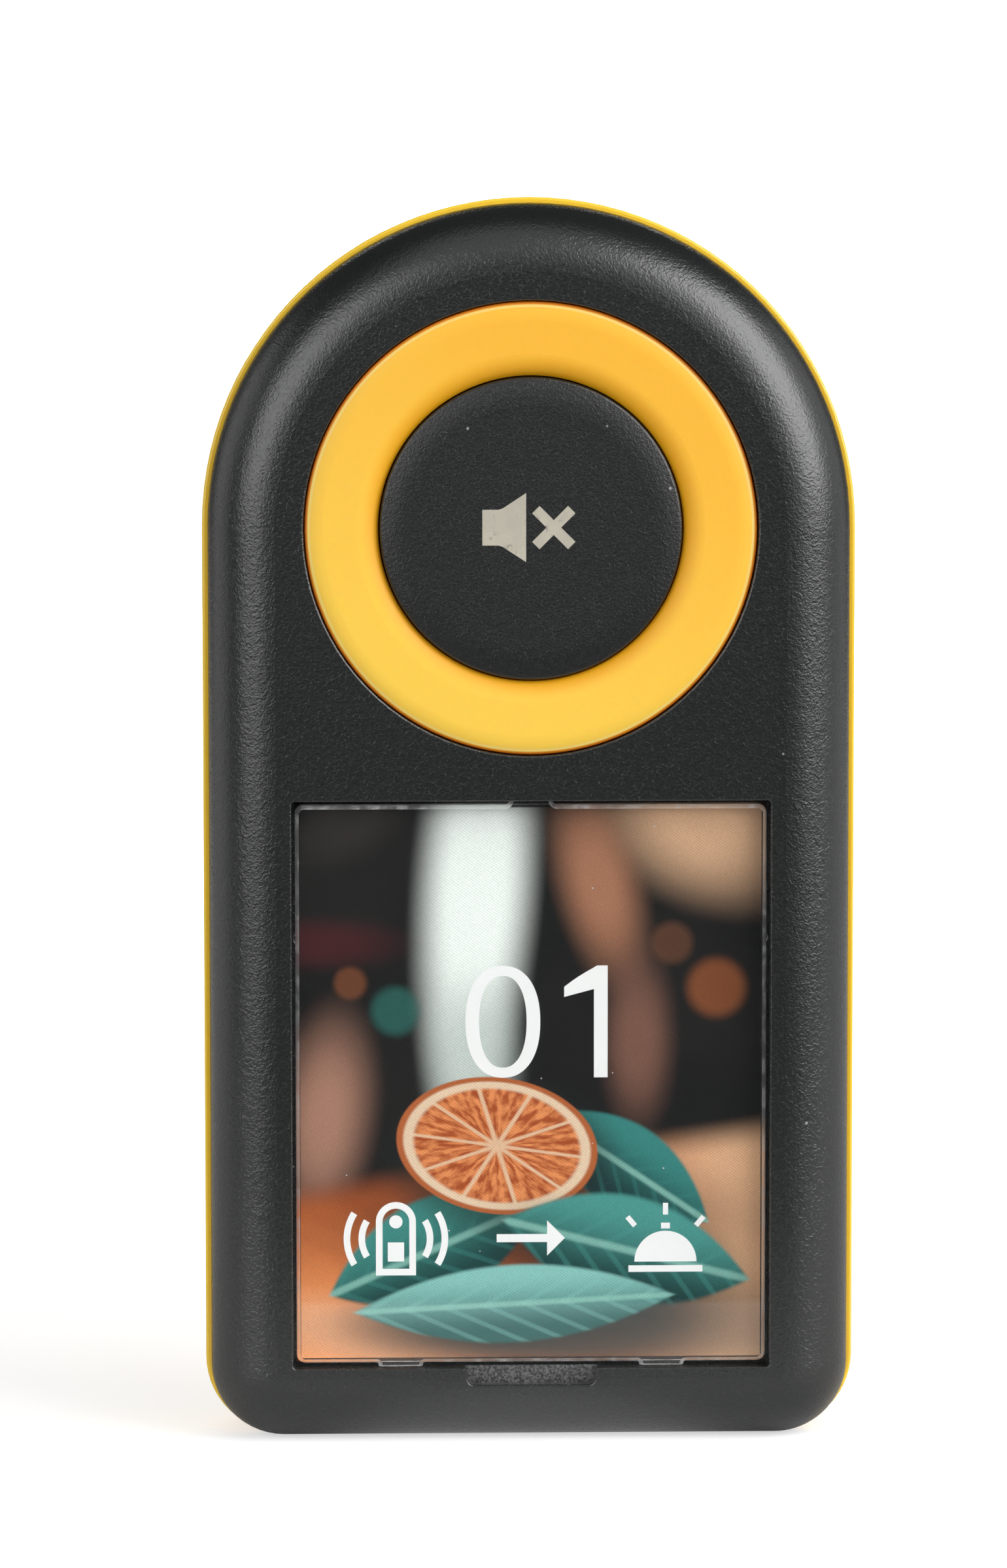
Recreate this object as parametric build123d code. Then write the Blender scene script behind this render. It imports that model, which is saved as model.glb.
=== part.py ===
"""Guest pager: a hand-held pager that stands on its flat end and calls a waiting guest.

The pager faces -Y, with +X to its right seen from the front and +Z up. The origin is
in the middle of the footprint, at the height of the surface it stands on. Depths are Y
values: the front face is at y_front and the back face at y_back. Millimetres.
"""
from build123d import *
import math
import os

os.makedirs("parts", exist_ok=True)

# ---- Case outline: a half-round top on straight sides, with two rounded bottom corners
width = 58.0
height = 110.5
thickness = 19.6
corner_r = 7.0

# ---- Case shells
front_depth = 6.1        # front face to parting line
front_wall = 2.0
rear_wall = 2.3
rim_step = 0.5           # how far the rear shell stands out past the front shell, but not at the foot
front_round = 6.0
rear_round = 3.5
rim_edge_round = 0.25
lip_wall = 0.9           # tongue on the front shell that centres the two halves
lip_height = 1.2
lip_gap = 0.1

# ---- Light ring
ring_r = 19.9
ring_gap = 0.1           # front shell hole to ring
ring_bore_r = 13.42
ring_inner_shoulder = 1.9
ring_inner_drop = 0.9    # how far the inner shoulder falls towards the bore
ring_outer_shoulder = 1.6
ring_outer_drop = 0.4
ring_edge_round = 0.2
flange_out = 1.4         # ring flange, behind the front wall
flange_t = 1.0
seat_gap = 0.15
seat_wall = 1.0
seat_height = 1.4
trough_depth = 1.2       # light trough in the back of the ring
trough_wall = 1.6
aperture_round = 0.2

# ---- Light box: the white trough between the ring and the circuit board
box_depth = 4.4
box_floor = 0.8
box_outer_wall = 1.2
box_inner_wall = 1.6
box_gap = 0.3            # light box to the button's flange and keys
led_count = 12
led_long = 3.5
led_short = 2.8
led_height = 1.4
led_window_gap = 0.35

# ---- Mute button
button_gap = 0.12
button_shoulder = 2.5    # width of the curved shoulder around the flat middle
button_drop = 0.32       # how far the shoulder falls towards the edge
button_round = 0.3
button_cap = 1.6
button_skirt = 1.4
button_flange_out = 0.9
button_flange_t = 0.8
button_rest_gap = 0.05
button_travel = 0.5
button_post_r = 1.6
button_rib = 0.8
button_rib_height = 1.0
button_rib_count = 6
key_width = 2.0
key_out = 0.9
key_count = 3

# ---- Key switch under the button
switch_size = 6.0
switch_height = 3.5
plunger_r = 1.65
plunger_gap = 0.1
plunger_stand = 0.7      # plunger above the switch body, at rest
plunger_foot_gap = 0.1
switch_leg_w = 0.7
switch_leg_out = 1.0
switch_leg_t = 0.3

# ---- Insert window
window_w = 42.3
window_low = 6.9         # bottom of the window above the table
window_drop = 4.1        # top of the window below the ring
window_corner = 0.3
window_edge_round = 0.15
cover_side_gap = 0.3
cover_end_gap = 0.4
cover_t = 1.4
cover_sink = 0.8
cover_corner = 0.8
cover_bevel = 0.35
card_t = 0.3
card_gap = 0.05
card_side_gap = 0.3
tray_wall = 1.2
tray_floor = 1.2
notch_w = 11.4
notch_h = 1.55
notch_depth = 1.6
notch_corner = 0.7
tab_w = 3.8              # hinge tab at the top of the cover
tab_out = 0.75
tab_t = 0.8
tab_root_r = 0.4
tab_lip_gap = 0.1
tab_swing = 0.6          # room behind the tab for the swing
tab_side_gap = 0.3
foot_tab_x = 11.6        # two centring tabs at the bottom of the cover
foot_tab_w = 3.9
foot_tab_out = 0.3
foot_tab_root_r = 0.25
nib_drop = 12.3          # side nibs below the window top
nib_r = 0.6
nib_out = 0.15
nib_t = 0.8

# ---- Circuit board
pcb_t = 1.2
pcb_edge_gap = 0.8       # board edge to the inside of the rear shell
pcb_low = 10.0
post_r = 2.0
post_bore_r = 0.75
post_bore_depth = 3.6
upper_post_x = 22.3
upper_post_rise = 4.0    # upper posts above the window
lower_post_x = 19.5
lower_post_z = 13.5
pcb_hole_r = 1.1
pcb_screw_r = 0.9
pcb_screw_length = 4.4
pcb_head_r = 1.7
pcb_head_t = 1.1

# ---- Case screws
boss_r = 2.6
tower_r = 2.8
tower_gap = 0.1
tower_ring_gap = 0.3
boss_angle = 45.0        # upper bosses, from the vertical
lower_boss_x = 22.6
lower_boss_z = 5.6
pilot_r = 0.85
pilot_depth = 4.6
screw_r = 1.0
screw_bite = 4.2         # length of thread in the front boss
screw_hole_r = 1.15
screw_web = 3.4          # solid web under the screw head
head_r = 1.9
head_t = 1.4
head_gap = 0.2
drive_r = 0.9            # cross-drive recess in each screw head
drive_w = 0.45
drive_depth = 0.6
notch_gap = 0.5          # board cut-out around a tower

# ---- Battery
cell_w = 34.0
cell_t = 6.2
cell_round = 2.6
cell_low = 21.0
cell_head_gap = 4.5      # protection board to the buzzer above it
tape_t = 0.4
tape_margin = 4.0
board_w = 26.0           # protection board on top of the cell
board_d = 4.4
board_t = 1.0
tab_strip_w = 3.0
tab_strip_t = 0.2
tab_strip_x = 6.0
bay_rib = 1.2
bay_rib_height = 3.0
bay_gap = 0.3
bay_rib_set = 6.0        # ribs shorter than the cell, at each end
bay_end_rib_set = 7.0

# ---- Vibration motor
motor_r = 3.0
motor_length = 11.0
motor_left = -11.0
motor_rise = 12.0        # motor axis above the middle of the ring
motor_drop = 4.2         # motor axis in front of the inside of the rear wall
boot_wall = 0.7
boot_length = 8.0
boot_set = 1.2
shaft_r = 0.5
shaft_out = 6.2
shaft_gap = 0.05
shaft_seat = 1.5
weight_r = 3.4
weight_length = 4.0
weight_set = 1.0
weight_hub_r = 1.3
contact_strip_w = 1.2
contact_strip_t = 0.2
contact_strip_pitch = 3.0

# ---- Buzzer
buzzer_x = -11.0
buzzer_drop = 7.0        # below the middle of the ring
buzzer_r = 6.0
buzzer_height = 5.2
buzzer_port_r = 1.0
buzzer_port_depth = 1.5
gasket_wall = 1.2
sound_hole_r = 0.6
sound_ring_r = 2.8
sound_hole_count = 6

# ---- Radio and logic
radio_gap = 2.0          # radio to the antenna track
radio_w = 13.0
radio_h = 15.0
radio_t = 0.8
shield_size = 9.5
shield_t = 1.6
shield_drop = 1.8
crystal_w = 5.0
crystal_h = 2.4
crystal_t = 1.2
crystal_rise = 5.4
chip_size = 7.0
chip_t = 1.2
chip_x = 3.0
chip_rise = 5.2          # above the middle of the ring
chip_pin_count = 8
chip_pin_w = 0.3
chip_pin_out = 0.8
chip_pin_t = 0.25
antenna_edge_gap = 3.4   # track to the edge of the board
antenna_drop = 15.0      # first bar below the middle of the ring
antenna_w = 5.0
antenna_track_w = 0.8
antenna_track_t = 0.1
antenna_pitch = 2.0
antenna_bars = 9
passive_l = 1.6
passive_w = 0.8
passive_t = 0.6
passive_pitch = 2.6
passive_count = 6

# ---- Charging contacts on the back
contact_x = 8.0
contact_z = 15.0
contact_r = 2.6
contact_t = 0.8
contact_sink = 0.1
contact_gap = 0.1
contact_stem_r = 1.1
contact_stem_out = 1.0
pin_barrel_r = 1.3
pin_barrel_length = 6.2
pin_tip_r = 0.8

# ---- Worked out from the driving dimensions
arch_z = height - width / 2
y_front = -thickness / 2
y_back = thickness / 2
y_split = y_front + front_depth
front_inside = y_front + front_wall
rear_inside = y_back - rear_wall
front_inset = rim_step + front_wall
flange_r = ring_r + flange_out
ring_back = front_inside + flange_t
pcb_front = ring_back + box_depth
pcb_back = pcb_front + pcb_t
button_r = ring_bore_r - button_gap
button_flange_r = button_r + button_flange_out
box_bore_r = button_flange_r + box_gap
box_inner_r = box_bore_r + box_inner_wall
box_r = flange_r - seat_gap
box_outer_r = box_r - box_outer_wall
led_ring_r = (box_inner_r + box_outer_r) / 2
boss_ring_r = box_r + tower_ring_gap + tower_r
window_top = arch_z - ring_r - window_drop
window_h = window_top - window_low
upper_post_z = window_top + upper_post_rise
cover_front = y_front + cover_sink
cover_back = cover_front + cover_t
card_front = cover_back + card_gap
tray_y = card_front + card_t
tray_back = tray_y + tray_floor
cover_low = window_low + cover_end_gap
cover_top = window_top - cover_end_gap
cover_half = window_w / 2 - cover_side_gap
motor_y = rear_inside - motor_drop
motor_z = arch_z + motor_rise
buzzer_z = arch_z - buzzer_drop
radio_z = buzzer_z
chip_z = arch_z + chip_rise
antenna_x = width / 2 - rear_wall - pcb_edge_gap - antenna_edge_gap - antenna_w / 2
antenna_low = arch_z - antenna_drop
radio_x = antenna_x - antenna_w / 2 - radio_gap - radio_w / 2
motor_right = motor_left + motor_length
cell_back = rear_inside - tape_t
cell_front = cell_back - cell_t
cell_y = (cell_front + cell_back) / 2
cell_top = buzzer_z - buzzer_r - cell_head_gap - board_t
cell_h = cell_top - cell_low
switch_front = pcb_front - switch_height
plunger_front = switch_front - plunger_stand


# ---- Helpers
def at(x, z, sketch):
    """Place a sketch of the front view at x, z."""
    return Pos(x, z) * sketch


def slab(sketch, near, far):
    """Solid with the sketch as its front view, from depth near back to depth far."""
    return extrude(Plane.XZ.offset(-far) * sketch, amount=far - near)


def disc(radius, near, far, x=0.0, z=0.0):
    """Round solid along the depth."""
    return slab(at(x, z, Circle(radius)), near, far)


def tube(outer, inner, near, far, x=0.0, z=0.0):
    """Round wall along the depth."""
    return slab(at(x, z, Circle(outer) - Circle(inner)), near, far)


def block(w, h, near, far, x=0.0, z=0.0):
    """Rectangular solid along the depth."""
    return slab(at(x, z, Rectangle(w, h)), near, far)


def outline(inset, foot_inset):
    """Front view of the case, moved in by inset, and up from the table by foot_inset."""
    half = width / 2 - inset
    sides = at(0, (foot_inset + arch_z) / 2, Rectangle(2 * half, arch_z - foot_inset))
    corners = sides.vertices().group_by(Axis.Y)[0]
    return fillet(corners, corner_r - inset) + at(0, arch_z, Circle(half))


def front_edges(solid):
    """Edges of the solid's front-most flat face."""
    return solid.faces().sort_by(Axis.Y)[0].edges()


def back_edges(solid):
    """Edges of the solid's rear-most flat face."""
    return solid.faces().sort_by(Axis.Y)[-1].edges()


def around(count, first=0.0):
    """Angles of a full circle pattern, in degrees."""
    return [first + 360.0 * i / count for i in range(count)]


def polar(radius, angle):
    """Point on a circle around the middle of the ring."""
    turn = math.radians(angle)
    return radius * math.cos(turn), arch_z + radius * math.sin(turn)


def save(name, *solids):
    """Write one sub-part."""
    shape = solids[0] if len(solids) == 1 else Compound(children=list(solids))
    export_step(shape, f"parts/{name}.step")


boss_points = [polar(boss_ring_r, 90 - boss_angle), polar(boss_ring_r, 90 + boss_angle)]
boss_points += [(side * lower_boss_x, lower_boss_z) for side in (-1, 1)]
post_points = [(side * upper_post_x, upper_post_z) for side in (-1, 1)]
post_points += [(side * lower_post_x, lower_post_z) for side in (-1, 1)]


# ---- Case
def on_window_edge(point):
    """Tell whether a point lies on the front edge of the window or its finger notch."""
    margin = 0.01
    low, half = window_low, window_w / 2
    if abs(point.X) < notch_w / 2 + margin and point.Z < window_low + margin:
        low, half = window_low - notch_h, notch_w / 2
    inside = abs(point.X) < half + margin and low - margin < point.Z < window_top + margin
    return inside and point.Y < y_front + window_edge_round


def front_shell():
    """Black front half: rounded face, ring hole and seat, window tray, bosses and posts."""
    shell = slab(outline(rim_step, 0), y_front, y_split)
    shell = fillet(front_edges(shell), front_round)
    inside = slab(outline(front_inset, front_wall), front_inside, y_split)
    shell -= fillet(front_edges(inside), front_round - front_wall)
    tongue = outline(front_inset - lip_wall, front_wall - lip_wall) - outline(front_inset, front_wall)
    tongue = slab(tongue, y_split, y_split + lip_height)
    for x, z in boss_points:
        tongue -= disc(tower_r + lip_gap, y_split, y_split + lip_height, x, z)
    shell += tongue

    mid_z = window_low + window_h / 2
    shell += block(window_w + 2 * tray_wall, window_h + 2 * tray_wall, front_inside, tray_back, 0, mid_z)
    shell += tube(flange_r + seat_gap + seat_wall, flange_r + seat_gap,
                  front_inside, front_inside + seat_height, 0, arch_z)
    for x, z in boss_points:
        shell += disc(boss_r, front_inside, y_split, x, z)
    for x, z in post_points:
        shell += disc(post_r, front_inside, pcb_front, x, z)

    shell -= disc(flange_r + seat_gap, front_inside, pcb_front, 0, arch_z)
    shell -= disc(ring_r + ring_gap, y_front, front_inside, 0, arch_z)
    pocket = at(0, mid_z, RectangleRounded(window_w, window_h, window_corner))
    shell -= slab(pocket, y_front, tray_y)
    for x, z in boss_points:
        shell -= disc(pilot_r, y_split - pilot_depth, y_split, x, z)
    for x, z in post_points:
        shell -= disc(post_bore_r, pcb_front - post_bore_depth, pcb_front, x, z)

    notch = at(0, window_low, RectangleRounded(notch_w, 2 * notch_h, notch_corner))
    shell -= slab(notch, y_front, y_front + notch_depth)
    slot_high = 2 * (tab_out + tab_side_gap)
    shell -= block(tab_w + 2 * tab_side_gap, slot_high, cover_front - tab_lip_gap,
                   cover_front + tab_t + tab_swing, 0, window_top)
    shell = fillet([edge for edge in shell.edges() if on_window_edge(edge.center())], window_edge_round)
    rim = [edge for edge in front_edges(shell).filter_by(GeomType.CIRCLE)
           if abs(edge.radius - ring_r - ring_gap) < 0.01]
    return fillet(rim, aperture_round)


def rear_shell():
    """Yellow rear half: walls, screw towers, battery bay, sound holes and contact holes."""
    shell = slab(outline(0, 0), y_split, y_back)
    shell = fillet(back_edges(shell), rear_round)
    shell = fillet(front_edges(shell), rim_edge_round)
    inside = slab(outline(rear_wall, rear_wall), y_split, rear_inside)
    shell -= fillet(back_edges(inside), rear_round - rear_wall)
    rebate = outline(front_inset - lip_wall - lip_gap, front_wall - lip_wall - lip_gap)
    shell -= slab(rebate, y_split, y_split + lip_height + lip_gap)

    cell_mid = cell_low + cell_h / 2
    bay_x = cell_w / 2 + bay_gap + bay_rib / 2
    bay_near = rear_inside - bay_rib_height
    for side in (-1, 1):
        shell += block(bay_rib, cell_h - 2 * bay_rib_set, bay_near, rear_inside, side * bay_x, cell_mid)
    shell += block(cell_w - 2 * bay_end_rib_set, bay_rib, bay_near, rear_inside,
                   0, cell_low - bay_gap - bay_rib / 2)
    for x, z in boss_points:
        shell += disc(tower_r, y_split + tower_gap, rear_inside, x, z)

    seat = y_split + tower_gap + screw_web
    for x, z in boss_points:
        shell -= disc(screw_hole_r, y_split, y_back, x, z)
        shell -= disc(head_r + head_gap, seat, y_back, x, z)
    for angle in around(sound_hole_count):
        turn = math.radians(angle)
        hole_x = buzzer_x + sound_ring_r * math.cos(turn)
        hole_z = buzzer_z + sound_ring_r * math.sin(turn)
        shell -= disc(sound_hole_r, rear_inside, y_back, hole_x, hole_z)
    shell -= disc(sound_hole_r, rear_inside, y_back, buzzer_x, buzzer_z)
    for side in (-1, 1):
        x = side * contact_x
        shell -= disc(contact_stem_r + contact_gap, rear_inside, y_back, x, contact_z)
        shell -= disc(contact_r + contact_gap, y_back - contact_t - contact_sink, y_back, x, contact_z)
    return shell


def case_screw(x, z):
    """Self-tapping screw, put in from the back: cross-drive head and shank."""
    seat = y_split + tower_gap + screw_web
    screw = disc(head_r, seat, seat + head_t, x, z)
    screw += disc(screw_r, y_split - screw_bite, seat, x, z)
    for w, h in ((2 * drive_r, drive_w), (drive_w, 2 * drive_r)):
        screw -= block(w, h, seat + head_t - drive_depth, seat + head_t, x, z)
    return screw


# ---- Light ring and light box
def light_ring():
    """Translucent ring: flat face with curved shoulders, flange behind the front wall, light trough."""
    with BuildPart() as ring:
        with BuildSketch(Plane.XY.offset(arch_z)) as section:
            with BuildLine():
                inner = TangentArc((ring_bore_r + ring_inner_shoulder, y_front),
                                   (ring_bore_r, y_front + ring_inner_drop), tangent=(-1, 0))
                outer = TangentArc((ring_r - ring_outer_shoulder, y_front),
                                   (ring_r, y_front + ring_outer_drop), tangent=(1, 0))
                Line(inner @ 0, outer @ 0)
                Polyline(outer @ 1, (ring_r, front_inside), (flange_r, front_inside),
                         (flange_r, ring_back), (ring_bore_r, ring_back), inner @ 1)
            make_face()
            corners = [section.vertices().sort_by_distance(arc @ 1)[0] for arc in (inner, outer)]
            fillet(corners, ring_edge_round)
        revolve(axis=Axis((0, 0, arch_z), (0, 1, 0)))
    trough = tube(ring_r - trough_wall, box_inner_r, ring_back - trough_depth, ring_back, 0, arch_z)
    return ring.part - trough


def light_box():
    """White trough that keeps the light in the ring and guides the button."""
    floor = pcb_front - box_floor
    box = tube(box_r, box_bore_r, ring_back, pcb_front, 0, arch_z)
    box -= tube(box_outer_r, box_inner_r, ring_back, floor, 0, arch_z)
    long_side = led_long + 2 * led_window_gap
    short_side = led_short + 2 * led_window_gap
    window = slab(at(led_ring_r, 0, Rectangle(short_side, long_side)), floor, pcb_front)
    for angle in around(led_count):
        box -= Pos(0, 0, arch_z) * Rot(0, -angle, 0) * window
    slot_width = key_width + 2 * box_gap
    reach = button_flange_r + key_out + box_gap
    slot_back = ring_back + button_rest_gap + button_flange_t + button_travel + box_gap
    slot = slab(at(reach / 2, 0, Rectangle(reach, slot_width)), ring_back, slot_back)
    for angle in around(key_count, 90):
        box -= Pos(0, 0, arch_z) * Rot(0, -angle, 0) * slot
    return box


def ring_led(angle):
    """Lamp on the circuit board."""
    lamp = slab(at(led_ring_r, 0, Rectangle(led_short, led_long)), pcb_front - led_height, pcb_front)
    return Pos(0, 0, arch_z) * Rot(0, -angle, 0) * lamp


# ---- Mute button and key switch
def mute_button():
    """Cap with a curved shoulder, a skirt, a keyed flange behind the ring, a post and ribs."""
    flange_front = ring_back + button_rest_gap
    flange_back = flange_front + button_flange_t
    under = y_front + button_cap
    with BuildPart() as cap:
        with BuildSketch(Plane.XY.offset(arch_z)):
            with BuildLine():
                shoulder = TangentArc((button_r - button_shoulder, y_front),
                                      (button_r, y_front + button_drop), tangent=(1, 0))
                Polyline(shoulder @ 1, (button_r, flange_front), (button_flange_r, flange_front),
                         (button_flange_r, flange_back), (button_r - button_skirt, flange_back),
                         (button_r - button_skirt, under), (button_post_r, under),
                         (button_post_r, plunger_front), (0, plunger_front), (0, y_front), shoulder @ 0)
            make_face()
        revolve(axis=Axis((0, 0, arch_z), (0, 1, 0)))
    cap = cap.part
    rounded = [edge for edge in cap.edges().filter_by(GeomType.CIRCLE)
               if abs(edge.center().Y - y_front - button_drop) < 0.01 and edge.is_closed]
    cap = fillet(rounded, button_round)
    key_end = button_flange_r + key_out
    key_start = button_r - button_skirt / 2
    key = slab(at((key_start + key_end) / 2, 0, Rectangle(key_end - key_start, key_width)),
               flange_front, flange_back)
    for angle in around(key_count, 90):
        cap += Pos(0, 0, arch_z) * Rot(0, -angle, 0) * key
    rib_start = button_post_r / 2
    rib_end = button_r - button_skirt / 2
    rib = slab(at((rib_start + rib_end) / 2, 0, Rectangle(rib_end - rib_start, button_rib)),
               under - button_cap / 2, under + button_rib_height)
    for angle in around(button_rib_count):
        cap += Pos(0, 0, arch_z) * Rot(0, -angle, 0) * rib
    return cap


def switch_plunger():
    """Plunger of the key switch, which the button's post rests on."""
    hole_back = plunger_front + plunger_stand + button_travel + plunger_foot_gap + plunger_stand
    return disc(plunger_r, plunger_front, hole_back - button_travel - plunger_foot_gap, 0, arch_z)


def tact_switch():
    """Key switch body with a blind hole for its plunger, and four solder legs."""
    body = block(switch_size, switch_size, switch_front, pcb_front, 0, arch_z)
    hole_back = plunger_front + plunger_stand + button_travel + plunger_foot_gap + plunger_stand
    body -= disc(plunger_r + plunger_gap, switch_front, hole_back, 0, arch_z)
    leg_x = (switch_size + switch_leg_out) / 2
    for side in (-1, 1):
        for level in (-1, 1):
            leg_z = arch_z + level * switch_size / 3
            body += block(switch_leg_out, switch_leg_w, pcb_front - switch_leg_t, pcb_front,
                          side * leg_x, leg_z)
    return body


# ---- Insert window
def cover_layer(plate, x, end, w, root_r):
    """Add a tab to the plate's sketch, from the plate out to end, with rounded roots."""
    edge = cover_top if end > cover_top else cover_low
    reach = end - edge
    tab = at(x, edge + (reach - math.copysign(cover_corner, reach)) / 2,
             Rectangle(w, abs(reach) + cover_corner))
    layer = plate + tab
    roots = [corner for corner in layer.vertices()
             if abs(abs(corner.X - x) - w / 2) < 0.01 and abs(corner.Y - edge) < 0.01]
    return fillet(roots, root_r)


def window_cover():
    """Clear cover: bevelled plate with a hinge tab, two centring tabs and two side nibs."""
    plate = at(0, (cover_low + cover_top) / 2,
               RectangleRounded(2 * cover_half, cover_top - cover_low, cover_corner))
    layer = cover_layer(plate, 0, window_top + tab_out, tab_w, tab_root_r)
    for side in (-1, 1):
        layer = cover_layer(layer, side * foot_tab_x, cover_low - foot_tab_out, foot_tab_w, foot_tab_root_r)
    cover = slab(layer, cover_front, cover_front + tab_t)
    rim = [edge for edge in front_edges(cover)
           if cover_low - foot_tab_out / 2 < edge.center().Z < cover_top + tab_root_r]
    cover = chamfer(rim, cover_bevel) + slab(plate, cover_front + tab_t / 2, cover_back)
    for side in (-1, 1):
        nib = side * (cover_half + nib_out - nib_r)
        cover += disc(nib_r, cover_back - nib_t, cover_back, nib, window_top - nib_drop)
    return cover


def insert_card():
    """Paper card in the tray, behind the cover."""
    card_w = window_w - 2 * card_side_gap
    card_h = window_h - 2 * card_side_gap
    return block(card_w, card_h, card_front, tray_y, 0, window_low + window_h / 2)


# ---- Circuit board
def main_pcb():
    """Circuit board: follows the case, with cut-outs for the towers and screw holes."""
    inset = rear_wall + pcb_edge_gap
    board = slab(outline(inset, inset), pcb_front, pcb_back)
    board -= block(width, 2 * pcb_low, pcb_front, pcb_back)
    for x, z in boss_points:
        board -= disc(tower_r + notch_gap, pcb_front, pcb_back, x, z)
    for x, z in post_points:
        board -= disc(pcb_hole_r, pcb_front, pcb_back, x, z)
    return board


def pcb_screw(x, z):
    """Small screw that holds the board on a post of the front shell."""
    screw = disc(pcb_head_r, pcb_back, pcb_back + pcb_head_t, x, z)
    return screw + disc(pcb_screw_r, pcb_back - pcb_screw_length, pcb_back, x, z)


def logic_chip():
    """Controller chip with a row of pins on each side."""
    chip = block(chip_size, chip_size, pcb_back, pcb_back + chip_t, chip_x, chip_z)
    pitch = chip_size / (chip_pin_count + 1)
    reach = chip_size + 2 * chip_pin_out
    for i in range(chip_pin_count):
        step = pitch * (i + 1) - chip_size / 2
        chip += block(reach, chip_pin_w, pcb_back, pcb_back + chip_pin_t, chip_x, chip_z + step)
        chip += block(chip_pin_w, reach, pcb_back, pcb_back + chip_pin_t, chip_x + step, chip_z)
    return chip


def antenna_track():
    """Copper track that runs to and fro beside the radio."""
    face = pcb_back + antenna_track_t
    track = Part()
    for i in range(antenna_bars):
        z = antenna_low + i * antenna_pitch
        track += block(antenna_w, antenna_track_w, pcb_back, face, antenna_x, z)
    for i in range(antenna_bars - 1):
        side = 1 if i % 2 else -1
        x = antenna_x + side * (antenna_w - antenna_track_w) / 2
        z = antenna_low + (i + 0.5) * antenna_pitch
        track += block(antenna_track_w, antenna_pitch + antenna_track_w, pcb_back, face, x, z)
    return track


def passives():
    """Small chip parts in two rows beside the controller chip."""
    row = []
    for i in range(passive_count):
        for side in (-1, 1):
            x = chip_x + side * (chip_size / 2 + 3 * chip_pin_out + passive_l)
            z = chip_z + (i - (passive_count - 1) / 2) * passive_pitch / 2
            row.append(block(passive_l, passive_w, pcb_back, pcb_back + passive_t, x, z))
    return row


# ---- Battery
def battery_cell():
    """Pouch cell with rounded long sides."""
    section = Plane.XY.offset(cell_low) * Pos(0, cell_y) * RectangleRounded(cell_w, cell_t, cell_round)
    return extrude(section, amount=cell_h)


def battery_tab(side):
    """Nickel strip from the protection board to the circuit board."""
    near = pcb_back
    far = cell_y + board_d / 2
    z = cell_top + board_t + tab_strip_t / 2
    return block(tab_strip_w, tab_strip_t, near, far, side * tab_strip_x, z)


# ---- Vibration motor
def along_x(sketch, start, length):
    """Solid with the sketch as its side view, around the motor axis, from start along +X."""
    return extrude(Plane.YZ.offset(start) * Pos(motor_y, motor_z) * sketch, amount=length)


def motor_can():
    """Steel can with a blind bearing bore for the shaft."""
    can = along_x(Circle(motor_r), motor_left, motor_length)
    can = chamfer(can.edges().filter_by(GeomType.CIRCLE).sort_by(Axis.X)[0], 0.3)
    return can - along_x(Circle(shaft_r + shaft_gap), motor_right - shaft_seat, shaft_seat)


def motor_boot():
    """Rubber boot: a sleeve around the can, with a foot on the rear wall."""
    start = motor_left + boot_set
    outer = motor_r + boot_wall
    foot = Pos(motor_drop / 2, 0) * Rectangle(motor_drop, 2 * outer)
    return along_x(Circle(outer) + foot - Circle(motor_r), start, boot_length)


def motor_shaft():
    """Shaft of the motor, which turns with the weight."""
    seat_end = motor_right - shaft_seat + shaft_gap
    return along_x(Circle(shaft_r), seat_end, motor_right + shaft_out - seat_end)


def eccentric_weight():
    """Half-round weight with a hub on the shaft."""
    start = motor_right + weight_set
    half = Circle(weight_r) & Pos(0, -weight_r) * Rectangle(2 * weight_r, 2 * weight_r)
    return along_x(half + Circle(weight_hub_r) - Circle(shaft_r), start, weight_length)


def motor_contact(level):
    """Spring strip from the end of the motor can to the circuit board."""
    strip = Pos(motor_left - contact_strip_t, (pcb_back + motor_y) / 2,
                motor_z + level * contact_strip_pitch / 2)
    return strip * Box(2 * contact_strip_t, motor_y - pcb_back, contact_strip_w)


# ---- Buzzer
def buzzer():
    """Round sounder on the board, with a sound port that faces the back."""
    can = disc(buzzer_r, pcb_back, pcb_back + buzzer_height, buzzer_x, buzzer_z)
    top = pcb_back + buzzer_height
    return can - disc(buzzer_port_r, top - buzzer_port_depth, top, buzzer_x, buzzer_z)


# ---- Charging contacts
def charge_contact(side):
    """Contact button in the back, with a stem through the wall."""
    outer = y_back - contact_sink
    x = side * contact_x
    pad = disc(contact_r, outer - contact_t, outer, x, contact_z)
    return pad + disc(contact_stem_r, rear_inside - contact_stem_out, outer - contact_t, x, contact_z)


def contact_pin(side):
    """Sprung pin on the board that presses on the contact's stem."""
    x = side * contact_x
    barrel_end = pcb_back + pin_barrel_length
    pin = disc(pin_barrel_r, pcb_back, barrel_end, x, contact_z)
    return pin + disc(pin_tip_r, barrel_end, rear_inside - contact_stem_out, x, contact_z)


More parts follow.
